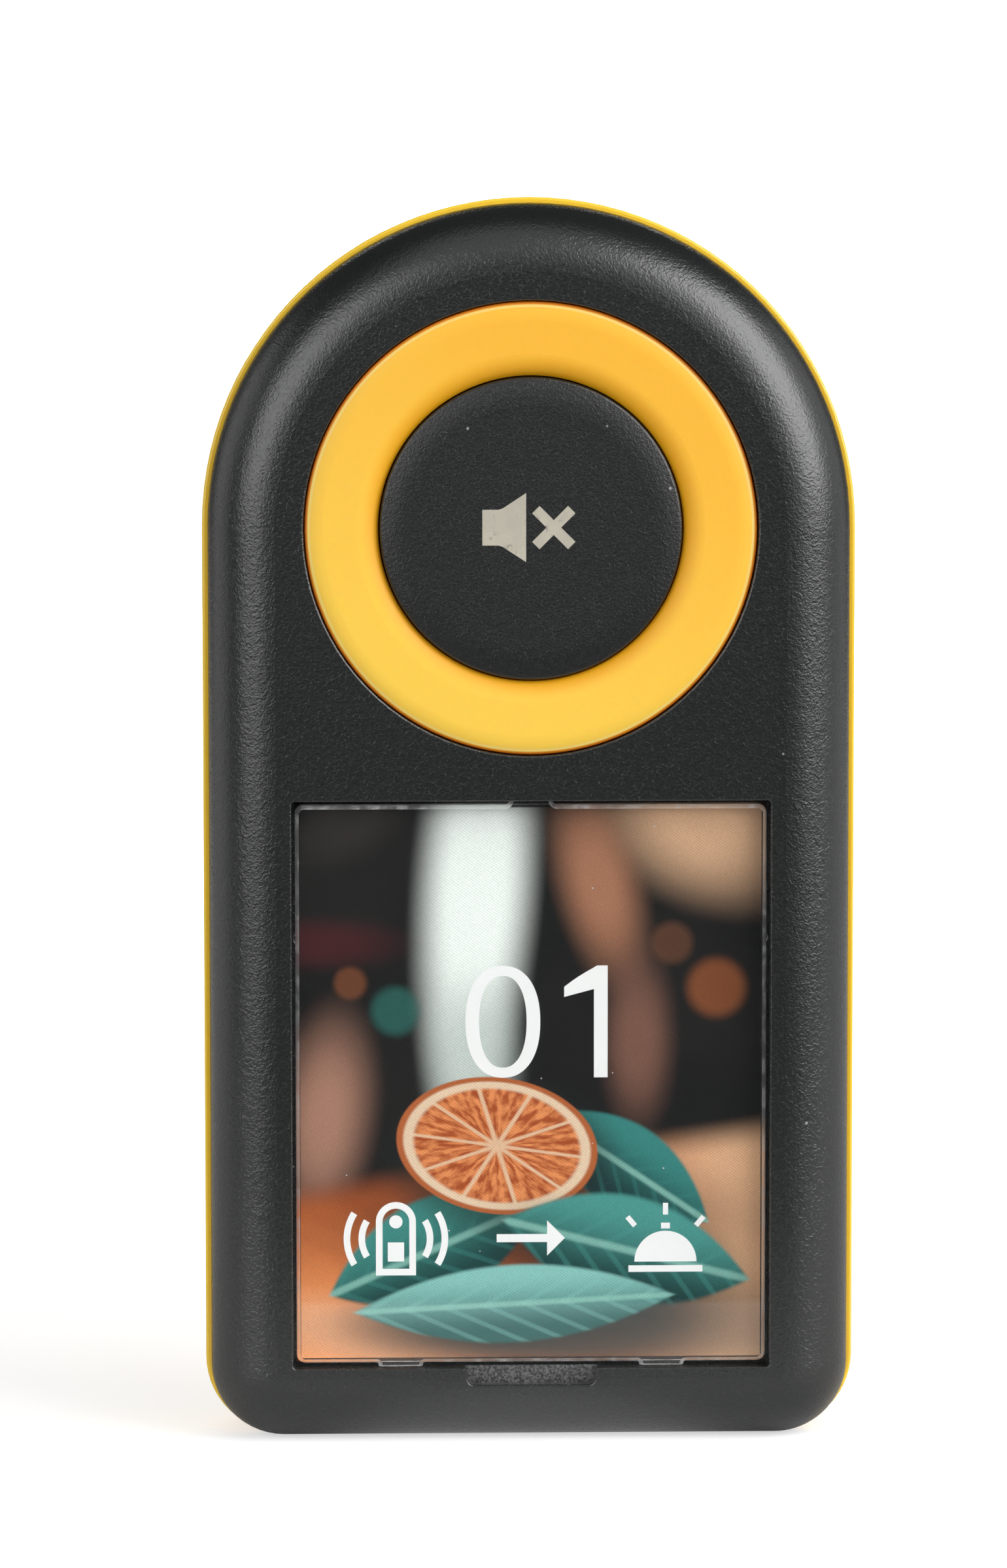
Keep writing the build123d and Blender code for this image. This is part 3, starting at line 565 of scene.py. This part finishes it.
# ---- Window cover
class GuestPagerCover(bpy.types.Operator):
    """Finish the clear cover of the card window"""
    bl_idname = "guest_pager.window_cover"
    bl_label = "Window Cover"

    def execute(self, context):
        clear = Finish("clear_plastic", (0.985, 0.99, 0.99), 0.03, Transmission_Weight=1.0, IOR=1.49)
        facing = clear.add("ShaderNodeTexCoord").outputs["Normal"]
        edge = clear.fade(clear.math("ABSOLUTE", clear.axes(facing)[1]), 0.985, 0.93)
        haze = clear.fade(clear.noise(300.0, 3.0), 0.35, 0.8, 0.02, 0.05)
        chips = clear.fade(clear.noise(900.0, 3.0), 0.42, 0.7, 0.12, 0.5)
        clear.set("Roughness", clear.math("ADD", haze, clear.math("MULTIPLY", edge, 0.3)))
        motes = clear.cells(1100.0)
        few = clear.math("GREATER_THAN", clear.axes(motes.outputs["Color"])[0], 0.988)
        dusty = clear.math("MULTIPLY", few, clear.fade(motes.outputs["Distance"], 0.12, 0.05, 0.0, 0.5))
        cloudy = clear.math("MAXIMUM", clear.math("MULTIPLY", edge, chips), dusty)
        clear.set("Transmission Weight", clear.math("SUBTRACT", 1.0, cloudy))
        clear.set("Normal", clear.bump(clear.noise(70.0, 1.0), 0.002 * MM))
        path = clear.add("ShaderNodeLightPath")
        open_air = clear.add("ShaderNodeBsdfTransparent", {"Color": (0.93, 0.94, 0.94)})
        pick = clear.add("ShaderNodeMixShader", {0: path.outputs["Is Shadow Ray"],
                                                 1: clear.shader.outputs[0], 2: open_air.outputs[0]})
        output = clear.tree.nodes["Material Output"]
        clear.tree.links.new(pick.outputs[0], output.inputs["Surface"])
        dress(clear, "window_cover")
        return {"FINISHED"}


# ---- Card
class CardArt(Finish):
    """Printed picture of the card, drawn in millimetres from the card's middle."""

    def __init__(self, name, paper):
        super().__init__(name, paper, 0.5, Specular_IOR_Level=0.2)
        self.middle = CARD_CENTRE
        self.picture = paper

    def local(self, x, z, half_width, half_height, angle=0.0):
        """Place around x, z, where the given half sizes are 1."""
        shift = (self.middle.x + x * MM, 0.0, self.middle.z + z * MM)
        scales = (half_width * MM, 1.0, half_height * MM)
        u, _, v = self.axes(self.stretch(scales, (0.0, math.radians(angle), 0.0), shift))
        return u, v

    def paint(self, mask, tone, amount=1.0):
        """Lay a tone over the picture where the mask is."""
        if amount != 1.0:
            mask = self.math("MULTIPLY", mask, amount)
        self.picture = self.mix(mask, self.picture, tone)

    def glow(self, x, z, half_width, half_height, tone, soft, amount=1.0, angle=0.0):
        """Soft spot or streak of one tone."""
        u, v = self.local(x, z, half_width, half_height, angle)
        self.paint(self.fade(self.radius(u, v), 1.0 + soft, 1.0 - soft), tone, amount)

    def leaf(self, x, z, length, wide, angle, dark, light):
        """Pointed leaf with a pale midrib and side veins."""
        u, v = self.local(x, z, length / 2, wide / 2, angle)
        side = self.math("ABSOLUTE", v)
        room = self.math("SUBTRACT", self.math("SUBTRACT", 1.0, self.math("POWER", u, 2.0)), side)
        mask = self.fade(room, -0.03, 0.10)
        tone = self.mix(self.fade(v, -0.7, 0.8), dark, light)
        slant = self.math("SUBTRACT", u, self.math("MULTIPLY", side, 0.5))
        veins = self.math("SINE", self.math("MULTIPLY", slant, 26.0))
        tone = self.mix(self.fade(veins, 0.4, 1.0, 0.0, 0.3), tone, light)
        rib = self.fade(side, 0.11, 0.02, 0.0, 0.6)
        self.paint(mask, self.mix(rib, tone, srgb(150, 204, 190)))

    def slice(self, x, z, radius, squash, angle, segments):
        """Round slice of an orange seen at a slant."""
        u, v = self.local(x, z, radius, radius * squash, angle)
        away = self.radius(u, v)
        turn = self.math("ARCTAN2", v, u)
        wave = self.math("ABSOLUTE", self.math("SINE", self.math("MULTIPLY", turn, segments / 2)))
        film = self.math("MULTIPLY", wave, away)
        polar = self.add("ShaderNodeCombineXYZ", {0: self.math("MULTIPLY", turn, 9.0),
                                                  1: self.math("MULTIPLY", away, 5.0)}).outputs[0]
        grain = self.noise(1.0, 3.0, polar)
        pulp = self.mix(self.fade(grain, 0.35, 0.65), srgb(164, 76, 34), srgb(226, 142, 86))
        pith = self.mix(self.fade(film, 0.05, 0.16), srgb(222, 184, 150), pulp)
        pith = self.mix(self.fade(away, 0.80, 0.86), pith, srgb(226, 200, 170))
        rind = self.mix(self.fade(away, 0.91, 0.95), pith, srgb(176, 96, 50))
        self.paint(self.fade(away, 1.01, 0.985), rind)

    def table_top(self):
        """Warm wood across the lower half, paler to the right."""
        grain = self.noise(45.0, 4.0, self.stretch((6.0, 1.0, 1.0), (0.0, math.radians(24), 0.0)))
        _, v = self.local(0.0, -7.5, 1.0, 1.0, -8.0)
        wood = self.mix(self.fade(grain, 0.35, 0.65), srgb(168, 84, 38), srgb(238, 152, 92))
        u, _ = self.local(4.0, -16.0, 14.0, 10.0)
        wood = self.mix(self.fade(u, 0.0, 1.1), wood, srgb(226, 178, 138))
        self.paint(self.fade(v, 2.0, -1.5), wood)

    def margin(self, wide, tone, amount):
        """Dark margin of the given width in millimetres all round the card, painted shade for the dark gap
        along the cover's edge.
        """
        u, v = self.local(0.0, 0.0, 1.0, 1.0)
        half_x, half_z = (CARD_HIGH.x - CARD_LOW.x) / 2 / MM, (CARD_HIGH.z - CARD_LOW.z) / 2 / MM
        side = self.math("GREATER_THAN", self.math("ABSOLUTE", u), half_x - wide)
        end = self.math("GREATER_THAN", self.math("ABSOLUTE", v), half_z - wide)
        self.paint(self.math("MAXIMUM", side, end), tone, amount)

    def print_raster(self, pitch):
        """Give the picture its slanting print raster and the tooth of the paper."""
        _, v = self.local(0.0, 0.0, 1.0, 1.0, 35.0)
        raster = self.math("SINE", self.math("MULTIPLY", v, 2 * math.pi * MM / pitch))
        speckle = self.noise(6000.0, 1.0)
        lift = self.math("ADD", self.math("MULTIPLY", raster, 0.10), self.math("MULTIPLY", speckle, 0.25))
        level = self.math("ADD", lift, 0.875)
        printed = self.add("ShaderNodeHueSaturation", {"Color": self.picture, "Value": level})
        self.set("Base Color", printed.outputs[0])
        self.set("Normal", self.bump(self.noise(5000.0, 2.0), 0.004 * MM))


class GuestPagerCard(bpy.types.Operator):
    """Print the card in the window: a picture, the pager's number and a row of signs"""
    bl_idname = "guest_pager.insert_card"
    bl_label = "Insert Card"

    def execute(self, context):
        card = context.scene.guest_pager.card
        art = CardArt("printed_card", srgb(16, 22, 22))
        drift = art.noise(60.0, 3.0)
        art.picture = art.mix(art.fade(drift, 0.35, 0.7), srgb(6, 8, 9), srgb(22, 21, 20))
        for x, z, half_width, half_height, levels, soft, amount, angle in ROOM_GLOWS:
            art.glow(x, z, half_width, half_height, srgb(*levels), soft, amount, angle)
        art.table_top()
        art.glow(-15.0, -22.5, 9.0, 2.6, srgb(238, 178, 134), 0.7, 0.7, 12.0)
        art.glow(3.0, -22.0, 17.0, 4.2, srgb(28, 48, 48), 0.6, 0.9)
        art.glow(1.0, -12.5, 15.5, 4.6, srgb(60, 34, 22), 0.6, 0.75)
        art.leaf(8.5, -7.6, 18.0, 8.0, 34.0, srgb(12, 50, 50), srgb(52, 128, 122))
        art.leaf(-8.5, -14.8, 21.0, 9.5, -24.0, srgb(16, 60, 58), srgb(60, 136, 128))
        art.glow(-2.6, -6.8, 9.4, 6.4, srgb(20, 34, 32), 0.25, 0.6)
        art.slice(-3.0, -5.6, 9.0, 0.68, 8.0, 10)
        art.glow(8.5, -16.0, 11.0, 4.6, srgb(14, 34, 33), 0.35, 0.5, 14.0)
        art.leaf(8.5, -15.0, 23.0, 10.0, 14.0, srgb(14, 58, 56), srgb(72, 148, 140))
        art.glow(-1.5, -20.8, 14.0, 3.2, srgb(16, 36, 35), 0.35, 0.55, -3.0)
        art.leaf(-1.5, -19.8, 29.0, 7.2, -3.0, srgb(34, 92, 88), srgb(134, 192, 184))

        # Painted shade: a dark border standing for the shaded gap at the cover's edge.
        art.margin(0.4, srgb(12, 12, 12), 0.9)
        art.print_raster(card.raster)
        dress(art, "insert_card")

        ink = moulded("white_card_ink", tuple(card.ink_white), 0.5, 0.01, 4000.0, 0.003 * MM)
        middle, foot = CARD_CENTRE.x, CARD_CENTRE.z + card.digits_low
        low, tall = CARD_CENTRE.z - card.signs_low, card.sign_height
        prints = {
            "number_zero": zero_shape(middle - card.zero_left, foot, card),
            "number_one": one_shape(middle + card.one_right, foot, card),
            "pager_sign": pager_sign(middle - card.sign_pitch, low, tall),
            "arrow_sign": arrow_sign(middle, low, tall),
            "bell_sign": bell_sign(middle + card.sign_pitch, low, tall),
        }
        for name, shapes in prints.items():
            ink_piece(name, shapes, CARD_LOW.y - INK_HEIGHT, 4 * MM, ink, "case")
        return {"FINISHED"}


def zero_shape(x, foot, card):
    """Digit zero around x: outer and inner loop."""
    middle = foot + card.digit_height / 2
    half_width, half_height = card.zero_width / 2, card.digit_height / 2
    hole_width, hole_height = half_width - card.stroke, half_height - card.thin_stroke
    squareness, steps = 2.25, 72
    outer = superellipse(half_width, half_height, squareness, steps, (x, middle))
    inner = superellipse(hole_width, hole_height, squareness, steps, (x, middle))
    return [outer, inner]


def one_shape(right, foot, card):
    """Digit one whose stem ends at the right: stem with a curved flag to its left."""
    left = right - card.one_width
    top = foot + card.digit_height
    stem = right - card.stroke
    tip = right - 0.78 * card.stroke
    hook = top - 0.19 * card.digit_height
    steps = 8
    flag = []
    for i in range(1, steps):
        t = i / steps
        flag.append((tip - t * (tip - left), top - (0.11 + 0.08 * t) * card.digit_height * t ** 0.8))
    return [[(right, foot), (right, top), (tip, top), *flag, (left, hook), (left, hook - card.thin_stroke),
             (stem, hook - 0.02 * card.digit_height), (stem, foot)]]


def pager_sign(x, low, tall):
    """Small pager that buzzes: outline, button, window and two waves on each side."""
    half = 0.27 * tall
    line = 0.09 * tall
    shoulder = low + tall - half
    outer = [(x - half, low), (x + half, low)] + arc(half, 0, 180, 24, (x, shoulder))
    inner_half = half - line
    inner = [(x - inner_half, low + line), (x + inner_half, low + line)]
    inner += arc(inner_half, 0, 180, 24, (x, shoulder))
    shapes = [outer, inner, arc(0.09 * tall, 0, 345, 23, (x, shoulder)),
              bar(x - 0.11 * tall, x + 0.11 * tall, low + 0.19 * tall, low + 0.45 * tall)]
    for side in (0, 180):
        for step in (0, 1):
            shapes.append(band((0.46 + 0.2 * step) * tall, side - 32, side + 32, line, (x, low + tall / 2)))
    return shapes


def arrow_sign(x, low, tall):
    """Arrow to the right."""
    middle = low + tall / 2
    shaft, head, reach = 0.055 * tall, 0.24 * tall, 0.46 * tall
    barb = x + reach - head
    return [[(x - reach, middle - shaft), (barb, middle - shaft), (barb, middle - head), (x + reach, middle),
             (barb, middle + head), (barb, middle + shaft), (x - reach, middle + shaft)]]


def bell_sign(x, low, tall):
    """Service bell: foot, dome and knob, with strokes above it."""
    radius = 0.42 * tall
    dome_low = low + 0.17 * tall
    dome_top = dome_low + radius
    shapes = [bar(x - 0.5 * tall, x + 0.5 * tall, low + 0.03 * tall, low + 0.12 * tall),
              arc(radius, 0, 180, 30, (x, dome_low)),
              bar(x - 0.06 * tall, x + 0.06 * tall, dome_top + 0.03 * tall, dome_top + 0.11 * tall)]
    for angle in (50, 90, 130):
        ray = math.radians(angle)
        along = Vector((math.cos(ray), math.sin(ray)))
        across = 0.035 * tall * Vector((-along.y, along.x))
        start = Vector((x, dome_low)) + 0.64 * tall * along
        end = Vector((x, dome_low)) + 0.8 * tall * along
        corners = (start + across, start - across, end - across, end + across)
        shapes.append([tuple(corner) for corner in corners])
    return shapes


# ---- Board and inner parts
class GuestPagerBoard(bpy.types.Operator):
    """Finish the circuit board and the parts on it"""
    bl_idname = "guest_pager.circuit_board"
    bl_label = "Circuit Board"

    def execute(self, context):
        board = Finish("green_solder_mask", (0.012, 0.11, 0.045), 0.32)
        tracks = board.cells(420.0, "DISTANCE_TO_EDGE", board.stretch((1.0, 40.0, 1.0))).outputs["Distance"]
        lines = board.fade(tracks, 0.05, 0.09, 1.0, 0.0)
        tone = board.mix(lines, (0.012, 0.11, 0.045), (0.03, 0.2, 0.075))
        pads = board.cells(260.0, "F1", board.stretch((1.0, 40.0, 1.0)))
        chosen = board.math("GREATER_THAN", board.axes(pads.outputs["Color"])[1], 0.8)
        via = board.math("MULTIPLY", chosen, board.fade(pads.outputs["Distance"], 0.16, 0.12))
        board.set("Base Color", board.mix(via, tone, (0.62, 0.5, 0.2)))
        board.set("Normal", board.bump(lines, 0.03 * MM))
        dress(board, "main_pcb", "radio_board", "battery_board")
        chip = moulded("black_epoxy", (0.022, 0.022, 0.024), 0.5, 0.1, 3000.0, 0.006 * MM)
        dress(chip, "logic_chip", "buzzer")
        dress(moulded("chip_ceramic", (0.42, 0.33, 0.22), 0.45, 0.2), "passives")
        dress(metal("tinned_sheet", (0.72, 0.72, 0.70), 0.28), "radio_shield", "crystal")
        dress(metal("copper_track", (0.75, 0.42, 0.22), 0.35), "antenna_track")
        return {"FINISHED"}


class GuestPagerPower(bpy.types.Operator):
    """Finish the cell, motor, sounder seal and charging contacts"""
    bl_idname = "guest_pager.power_and_motor"
    bl_label = "Power and Motor"

    def execute(self, context):
        foil = metal("laminated_foil", (0.74, 0.75, 0.77), 0.38, (1.0, 1.0, 1.0), 120.0)
        dress(foil, "battery_cell")
        dress(moulded("double_sided_tape", (0.80, 0.80, 0.76), 0.6, 0.05), "battery_tape")
        foam = moulded("closed_cell_foam", (0.045, 0.045, 0.047), 0.85, 0.2, 2600.0, 0.05 * MM)
        dress(foam, "battery_foam", "buzzer_gasket")
        nickel = metal("nickel_strip", (0.66, 0.64, 0.59), 0.3, (8.0, 1.0, 1.0))
        dress(nickel, "battery_tabs", "motor_contacts")
        dress(metal("drawn_steel", (0.60, 0.60, 0.60), 0.3, (14.0, 1.0, 1.0)), "motor_can", "motor_shaft")
        dress(moulded("grey_silicone", (0.075, 0.075, 0.08), 0.7, 0.1), "motor_boot")
        tungsten = metal("sintered_tungsten", (0.3, 0.3, 0.31), 0.5, (1.0, 1.0, 1.0), 2500.0)
        dress(tungsten, "eccentric_weight")
        gold = metal("gold_plating", (0.90, 0.64, 0.26), 0.3, (1.0, 1.0, 1.0), 500.0)
        dress(gold, "charge_contacts", "contact_pins")
        return {"FINISHED"}


# ---- Stage
def lamp(name, place, aim, wide, tall, power):
    """Softbox that looks at a point."""
    light = bpy.data.lights.new(name, "AREA")
    light.shape = "RECTANGLE"
    light.size, light.size_y = wide, tall
    light.energy = power
    holder = bpy.data.objects.new(name, light)
    turn = (aim - place).to_track_quat("-Z", "Y").to_matrix()
    holder.matrix_world = Matrix.Translation(place) @ turn.to_4x4()
    bpy.context.scene.collection.objects.link(holder)


def around(angle, rise, distance, aim):
    """Point around the pager: angle from straight in front towards +X, rise above the level."""
    turn, lift = math.radians(angle), math.radians(rise)
    level = math.cos(lift)
    return aim + distance * Vector((math.sin(turn) * level, -math.cos(turn) * level, math.sin(lift)))


def paper_finish():
    """White paper: seen white, fading to its lit grey near the pager, and mirrored as a dim white that glows
    brighter close to the pager's foot as a painted reflection.
    """
    paper = Finish("white_paper_sweep", (0.62, 0.62, 0.62), 0.9, Specular_IOR_Level=0.1)
    cloud = paper.fade(paper.noise(3.0, 2.0), 0.3, 0.7)
    paper.set("Base Color", paper.mix(cloud, (0.61, 0.61, 0.61), (0.63, 0.63, 0.63)))
    path = paper.add("ShaderNodeLightPath").outputs
    mirrored = paper.math("MAXIMUM", path["Is Glossy Ray"], path["Is Transmission Ray"])
    far = paper.add("ShaderNodeVectorMath", {0: paper.place}, operation="LENGTH").outputs["Value"]
    seen = paper.math("MULTIPLY", path["Is Camera Ray"], paper.fade(far, 0.07, 0.25, 0.58, 0.85))
    # Painted reflection: close to the foot the paper glows brighter for mirrored rays only, laying a pale
    # line on the shell's lower edge.
    foot_reflection_glow = paper.fade(far, 0.01, 0.022, 0.4, 0.07)
    paper.set("Emission Color", (1.0, 1.0, 1.0))
    paper.set("Emission Strength", paper.math("ADD", seen, paper.math("MULTIPLY", mirrored, foot_reflection_glow)))
    return paper


def paper_sweep(front):
    """Floor from the given front edge, bent up into a low backdrop."""
    steps = 10
    profile = [(-front, 0.0)]
    for i in range(steps + 1):
        turn = math.radians(90 / steps * i)
        profile.append((SWEEP_DEPTH - SWEEP_BEND + SWEEP_BEND * math.sin(turn),
                        SWEEP_BEND - SWEEP_BEND * math.cos(turn)))
    profile.append((SWEEP_DEPTH, SWEEP_RISE))
    sweep = bmesh.new()
    rows = [[sweep.verts.new((side * SWEEP_HALF, y, z)) for side in (-1, 1)] for y, z in profile]
    for near, far in zip(rows, rows[1:]):
        sweep.faces.new((near[0], near[1], far[1], far[0]))
    mesh = bpy.data.meshes.new("paper_sweep")
    sweep.to_mesh(mesh)
    sweep.free()
    for face in mesh.polygons:
        face.use_smooth = True
    mesh.materials.append(paper_finish().material)
    floor = bpy.data.objects.new("paper_sweep", mesh)
    bpy.context.scene.collection.objects.link(floor)


def studio_room(surround):
    """World that lights dimly and is seen white."""
    world = bpy.data.worlds.new("studio_room")
    world.use_nodes = True
    nodes, links = world.node_tree.nodes, world.node_tree.links
    level = nodes["Background"]
    level.inputs["Color"].default_value = (1.0, 1.0, 1.0, 1.0)
    path = nodes.new("ShaderNodeLightPath")
    choose = nodes.new("ShaderNodeMix")
    choose.inputs[2].default_value = surround
    choose.inputs[3].default_value = 1.0
    links.new(path.outputs["Is Camera Ray"], choose.inputs[0])
    links.new(choose.outputs[0], level.inputs["Strength"])
    bpy.context.scene.world = world


def front_camera(distance, height):
    """Camera a little to the left of the pager, looking down on its face."""
    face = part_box("front_shell")[0].y
    place = Vector((CAMERA_SIDE, face - distance, height))
    pitch, yaw, roll = (math.radians(turn) for turn in (CAMERA_PITCH, CAMERA_YAW, CAMERA_ROLL))
    level = math.cos(pitch)
    forward = Vector((math.sin(yaw) * level, math.cos(yaw) * level, -math.sin(pitch)))
    data = bpy.data.cameras.new("camera")
    data.sensor_fit = "VERTICAL"
    data.sensor_height = CAMERA_SENSOR
    data.lens = CAMERA_LENS
    camera = bpy.data.objects.new("camera", data)
    look = forward.to_track_quat("-Z", "Y").to_matrix() @ Matrix.Rotation(roll, 3, "Z")
    camera.matrix_world = Matrix.Translation(place) @ look.to_4x4()
    bpy.context.scene.collection.objects.link(camera)
    bpy.context.scene.camera = camera


class GuestPagerStage(bpy.types.Operator):
    """Set the floor, backdrop, lamps and camera"""
    bl_idname = "guest_pager.stage"
    bl_label = "Stage"

    def execute(self, context):
        stage = context.scene.guest_pager.stage
        paper_sweep(stage.paper_front)
        studio_room(stage.surround)
        for name, angle, rise, distance, wide, tall, share in LAMPS:
            place = around(angle, rise, distance, LAMP_AIM)
            lamp(name, place, LAMP_AIM, wide, tall, share * stage.lamp_power)
        front_camera(stage.camera_distance, stage.camera_height)
        context.scene.view_settings.view_transform = "Standard"
        return {"FINISHED"}


# ---- Panel and registration
OPERATORS = (GuestPagerCase, GuestPagerRing, GuestPagerButton, GuestPagerCover, GuestPagerCard,
             GuestPagerBoard, GuestPagerPower, GuestPagerStage)


class GuestPagerPanel(bpy.types.Panel):
    """Operators of the guest pager"""
    bl_idname = "VIEW3D_PT_guest_pager"
    bl_label = "Guest Pager"
    bl_space_type = "VIEW_3D"
    bl_region_type = "UI"
    bl_category = "Guest Pager"

    def draw(self, context):
        settings = context.scene.guest_pager
        for operator in OPERATORS:
            self.layout.operator(operator.bl_idname)
        for group in (settings.finish, settings.mark, settings.card, settings.stage):
            box = self.layout.box()
            for name in group.__annotations__:
                box.prop(group, name)


CLASSES = (PagerFinishSettings, PagerMarkSettings, PagerCardSettings, PagerStageSettings, PagerSettings,
           *OPERATORS, GuestPagerPanel)


def register():
    """Register the classes and the scene's settings."""
    for item in CLASSES:
        bpy.utils.register_class(item)
    bpy.types.Scene.guest_pager = bpy.props.PointerProperty(type=PagerSettings)


def unregister():
    """Remove the classes and the scene's settings."""
    del bpy.types.Scene.guest_pager
    for item in reversed(CLASSES):
        bpy.utils.unregister_class(item)


def main():
    """Build every piece in order."""
    register()
    for operator in OPERATORS:
        group, name = operator.bl_idname.split(".")
        getattr(getattr(bpy.ops, group), name)()


if __name__ == "__main__":
    main()
